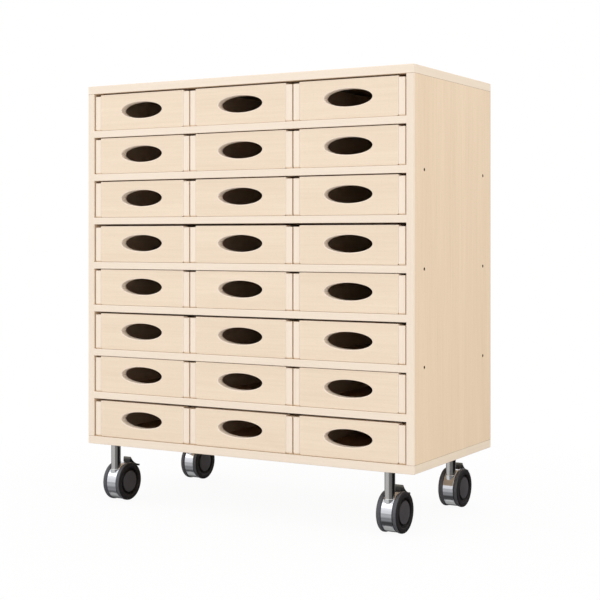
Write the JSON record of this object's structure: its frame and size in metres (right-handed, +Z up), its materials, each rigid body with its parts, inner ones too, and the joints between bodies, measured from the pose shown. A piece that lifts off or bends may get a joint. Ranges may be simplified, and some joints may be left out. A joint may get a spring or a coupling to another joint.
{
  "type": "classroom tray storage unit",
  "caption": "Mobile classroom tray storage unit: wood-grained board cabinet of pull-out wooden trays with elliptical finger holes, on twin-wheel swivel castors with brake pedals.",
  "frame": {"origin": "on the floor, in the middle of the cabinet's footprint", "axes": "+Z up, the trays pull out towards -Y, +X to the right as seen from the front"},
  "size_m": [0.85, 0.42, 0.9778],
  "materials": {
    "case_board": "pale maple-grained board, satin lacquer",
    "shelf_board": "pale maple-grained board with banded edges, satin lacquer",
    "tray_board": "pale maple-grained board, satin lacquer",
    "back_board": "thin veneered board, satin",
    "dowel_wood": "plain beech dowel",
    "screw_steel": "dark zinc-plated screw",
    "zinc_steel": "zinc-plated",
    "stem_steel": "satin steel",
    "hood_chrome": "bright chrome plate",
    "wheel_rubber": "dark grey rubber tyre on a dark plastic centre",
    "pedal_plastic": "dark brown-grey moulded plastic"
  },
  "bodies": {
    "carcass": {"top_panel": "case_board", "bottom_panel": "case_board", "side_panel_left": "case_board", "side_panel_right": "case_board", "back_panel": "back_board", "shelf_1": "shelf_board", "shelf_2": "shelf_board", "shelf_3": "shelf_board", "shelf_4": "shelf_board", "shelf_5": "shelf_board", "shelf_6": "shelf_board", "shelf_7": "shelf_board", "shelf_screws": "screw_steel", "carcass_dowels": "dowel_wood", "caster_inserts": "zinc_steel", "caster_washers": "stem_steel", "caster_stem_fl": "stem_steel", "caster_stem_fr": "stem_steel", "caster_stem_bl": "stem_steel", "caster_stem_br": "stem_steel"},
    "tray_r1_c1": {"tray_r1_c1": "tray_board"},
    "tray_r1_c2": {"tray_r1_c2": "tray_board"},
    "tray_r1_c3": {"tray_r1_c3": "tray_board"},
    "tray_r2_c1": {"tray_r2_c1": "tray_board"},
    "tray_r2_c2": {"tray_r2_c2": "tray_board"},
    "tray_r2_c3": {"tray_r2_c3": "tray_board"},
    "tray_r3_c1": {"tray_r3_c1": "tray_board"},
    "tray_r3_c2": {"tray_r3_c2": "tray_board"},
    "tray_r3_c3": {"tray_r3_c3": "tray_board"},
    "tray_r4_c1": {"tray_r4_c1": "tray_board"},
    "tray_r4_c2": {"tray_r4_c2": "tray_board"},
    "tray_r4_c3": {"tray_r4_c3": "tray_board"},
    "tray_r5_c1": {"tray_r5_c1": "tray_board"},
    "tray_r5_c2": {"tray_r5_c2": "tray_board"},
    "tray_r5_c3": {"tray_r5_c3": "tray_board"},
    "tray_r6_c1": {"tray_r6_c1": "tray_board"},
    "tray_r6_c2": {"tray_r6_c2": "tray_board"},
    "tray_r6_c3": {"tray_r6_c3": "tray_board"},
    "tray_r7_c1": {"tray_r7_c1": "tray_board"},
    "tray_r7_c2": {"tray_r7_c2": "tray_board"},
    "tray_r7_c3": {"tray_r7_c3": "tray_board"},
    "tray_r8_c1": {"tray_r8_c1": "tray_board"},
    "tray_r8_c2": {"tray_r8_c2": "tray_board"},
    "tray_r8_c3": {"tray_r8_c3": "tray_board"},
    "caster_fl": {"caster_hood_fl": "hood_chrome"},
    "wheel_left_fl": {"wheel_left_fl": "wheel_rubber"},
    "wheel_right_fl": {"wheel_right_fl": "wheel_rubber"},
    "brake_fl": {"caster_brake_fl": "pedal_plastic"},
    "caster_fr": {"caster_hood_fr": "hood_chrome"},
    "wheel_left_fr": {"wheel_left_fr": "wheel_rubber"},
    "wheel_right_fr": {"wheel_right_fr": "wheel_rubber"},
    "brake_fr": {"caster_brake_fr": "pedal_plastic"},
    "caster_bl": {"caster_hood_bl": "hood_chrome"},
    "wheel_left_bl": {"wheel_left_bl": "wheel_rubber"},
    "wheel_right_bl": {"wheel_right_bl": "wheel_rubber"},
    "brake_bl": {"caster_brake_bl": "pedal_plastic"},
    "caster_br": {"caster_hood_br": "hood_chrome"},
    "wheel_left_br": {"wheel_left_br": "wheel_rubber"},
    "wheel_right_br": {"wheel_right_br": "wheel_rubber"},
    "brake_br": {"caster_brake_br": "pedal_plastic"}
  },
  "joints": [
    {"name": "tray_r1_c1_slide", "type": "slide", "parent": "carcass", "child": "tray_r1_c1", "axis": [0, -1, 0], "range_m": [0, 0.42]},
    {"name": "tray_r1_c2_slide", "type": "slide", "parent": "carcass", "child": "tray_r1_c2", "axis": [0, -1, 0], "range_m": [0, 0.42]},
    {"name": "tray_r1_c3_slide", "type": "slide", "parent": "carcass", "child": "tray_r1_c3", "axis": [0, -1, 0], "range_m": [0, 0.42]},
    {"name": "tray_r2_c1_slide", "type": "slide", "parent": "carcass", "child": "tray_r2_c1", "axis": [0, -1, 0], "range_m": [0, 0.42]},
    {"name": "tray_r2_c2_slide", "type": "slide", "parent": "carcass", "child": "tray_r2_c2", "axis": [0, -1, 0], "range_m": [0, 0.42]},
    {"name": "tray_r2_c3_slide", "type": "slide", "parent": "carcass", "child": "tray_r2_c3", "axis": [0, -1, 0], "range_m": [0, 0.42]},
    {"name": "tray_r3_c1_slide", "type": "slide", "parent": "carcass", "child": "tray_r3_c1", "axis": [0, -1, 0], "range_m": [0, 0.42]},
    {"name": "tray_r3_c2_slide", "type": "slide", "parent": "carcass", "child": "tray_r3_c2", "axis": [0, -1, 0], "range_m": [0, 0.42]},
    {"name": "tray_r3_c3_slide", "type": "slide", "parent": "carcass", "child": "tray_r3_c3", "axis": [0, -1, 0], "range_m": [0, 0.42]},
    {"name": "tray_r4_c1_slide", "type": "slide", "parent": "carcass", "child": "tray_r4_c1", "axis": [0, -1, 0], "range_m": [0, 0.42]},
    {"name": "tray_r4_c2_slide", "type": "slide", "parent": "carcass", "child": "tray_r4_c2", "axis": [0, -1, 0], "range_m": [0, 0.42]},
    {"name": "tray_r4_c3_slide", "type": "slide", "parent": "carcass", "child": "tray_r4_c3", "axis": [0, -1, 0], "range_m": [0, 0.42]},
    {"name": "tray_r5_c1_slide", "type": "slide", "parent": "carcass", "child": "tray_r5_c1", "axis": [0, -1, 0], "range_m": [0, 0.42]},
    {"name": "tray_r5_c2_slide", "type": "slide", "parent": "carcass", "child": "tray_r5_c2", "axis": [0, -1, 0], "range_m": [0, 0.42]},
    {"name": "tray_r5_c3_slide", "type": "slide", "parent": "carcass", "child": "tray_r5_c3", "axis": [0, -1, 0], "range_m": [0, 0.42]},
    {"name": "tray_r6_c1_slide", "type": "slide", "parent": "carcass", "child": "tray_r6_c1", "axis": [0, -1, 0], "range_m": [0, 0.42]},
    {"name": "tray_r6_c2_slide", "type": "slide", "parent": "carcass", "child": "tray_r6_c2", "axis": [0, -1, 0], "range_m": [0, 0.42]},
    {"name": "tray_r6_c3_slide", "type": "slide", "parent": "carcass", "child": "tray_r6_c3", "axis": [0, -1, 0], "range_m": [0, 0.42]},
    {"name": "tray_r7_c1_slide", "type": "slide", "parent": "carcass", "child": "tray_r7_c1", "axis": [0, -1, 0], "range_m": [0, 0.42]},
    {"name": "tray_r7_c2_slide", "type": "slide", "parent": "carcass", "child": "tray_r7_c2", "axis": [0, -1, 0], "range_m": [0, 0.42]},
    {"name": "tray_r7_c3_slide", "type": "slide", "parent": "carcass", "child": "tray_r7_c3", "axis": [0, -1, 0], "range_m": [0, 0.42]},
    {"name": "tray_r8_c1_slide", "type": "slide", "parent": "carcass", "child": "tray_r8_c1", "axis": [0, -1, 0], "range_m": [0, 0.42]},
    {"name": "tray_r8_c2_slide", "type": "slide", "parent": "carcass", "child": "tray_r8_c2", "axis": [0, -1, 0], "range_m": [0, 0.42]},
    {"name": "tray_r8_c3_slide", "type": "slide", "parent": "carcass", "child": "tray_r8_c3", "axis": [0, -1, 0], "range_m": [0, 0.42]},
    {"name": "caster_fl_swivel", "type": "hinge", "parent": "carcass", "child": "caster_fl", "pos_m": [-0.359, -0.188, 0.058], "axis": [0, 0, 1], "continuous": true},
    {"name": "wheel_left_fl_spin", "type": "hinge", "parent": "caster_fl", "child": "wheel_left_fl", "pos_m": [-0.359, -0.164, 0.044], "axis": [1, 0, 0], "continuous": true},
    {"name": "wheel_right_fl_spin", "type": "hinge", "parent": "caster_fl", "child": "wheel_right_fl", "pos_m": [-0.359, -0.164, 0.044], "axis": [1, 0, 0], "continuous": true},
    {"name": "brake_fl_press", "type": "hinge", "parent": "caster_fl", "child": "brake_fl", "pos_m": [-0.359, -0.142, 0.07523], "axis": [-1, 0, 0], "range_deg": [0, 15]},
    {"name": "caster_fr_swivel", "type": "hinge", "parent": "carcass", "child": "caster_fr", "pos_m": [0.359, -0.188, 0.058], "axis": [0, 0, 1], "continuous": true},
    {"name": "wheel_left_fr_spin", "type": "hinge", "parent": "caster_fr", "child": "wheel_left_fr", "pos_m": [0.359, -0.164, 0.044], "axis": [1, 0, 0], "continuous": true},
    {"name": "wheel_right_fr_spin", "type": "hinge", "parent": "caster_fr", "child": "wheel_right_fr", "pos_m": [0.359, -0.164, 0.044], "axis": [1, 0, 0], "continuous": true},
    {"name": "brake_fr_press", "type": "hinge", "parent": "caster_fr", "child": "brake_fr", "pos_m": [0.359, -0.142, 0.07523], "axis": [-1, 0, 0], "range_deg": [0, 15]},
    {"name": "caster_bl_swivel", "type": "hinge", "parent": "carcass", "child": "caster_bl", "pos_m": [-0.359, 0.1295, 0.058], "axis": [0, 0, 1], "continuous": true},
    {"name": "wheel_left_bl_spin", "type": "hinge", "parent": "caster_bl", "child": "wheel_left_bl", "pos_m": [-0.359, 0.1535, 0.044], "axis": [1, 0, 0], "continuous": true},
    {"name": "wheel_right_bl_spin", "type": "hinge", "parent": "caster_bl", "child": "wheel_right_bl", "pos_m": [-0.359, 0.1535, 0.044], "axis": [1, 0, 0], "continuous": true},
    {"name": "brake_bl_press", "type": "hinge", "parent": "caster_bl", "child": "brake_bl", "pos_m": [-0.359, 0.1755, 0.07523], "axis": [-1, 0, 0], "range_deg": [0, 15]},
    {"name": "caster_br_swivel", "type": "hinge", "parent": "carcass", "child": "caster_br", "pos_m": [0.359, 0.1295, 0.058], "axis": [0, 0, 1], "continuous": true},
    {"name": "wheel_left_br_spin", "type": "hinge", "parent": "caster_br", "child": "wheel_left_br", "pos_m": [0.359, 0.1535, 0.044], "axis": [1, 0, 0], "continuous": true},
    {"name": "wheel_right_br_spin", "type": "hinge", "parent": "caster_br", "child": "wheel_right_br", "pos_m": [0.359, 0.1535, 0.044], "axis": [1, 0, 0], "continuous": true},
    {"name": "brake_br_press", "type": "hinge", "parent": "caster_br", "child": "brake_br", "pos_m": [0.359, 0.1755, 0.07523], "axis": [-1, 0, 0], "range_deg": [0, 15]}
  ]
}
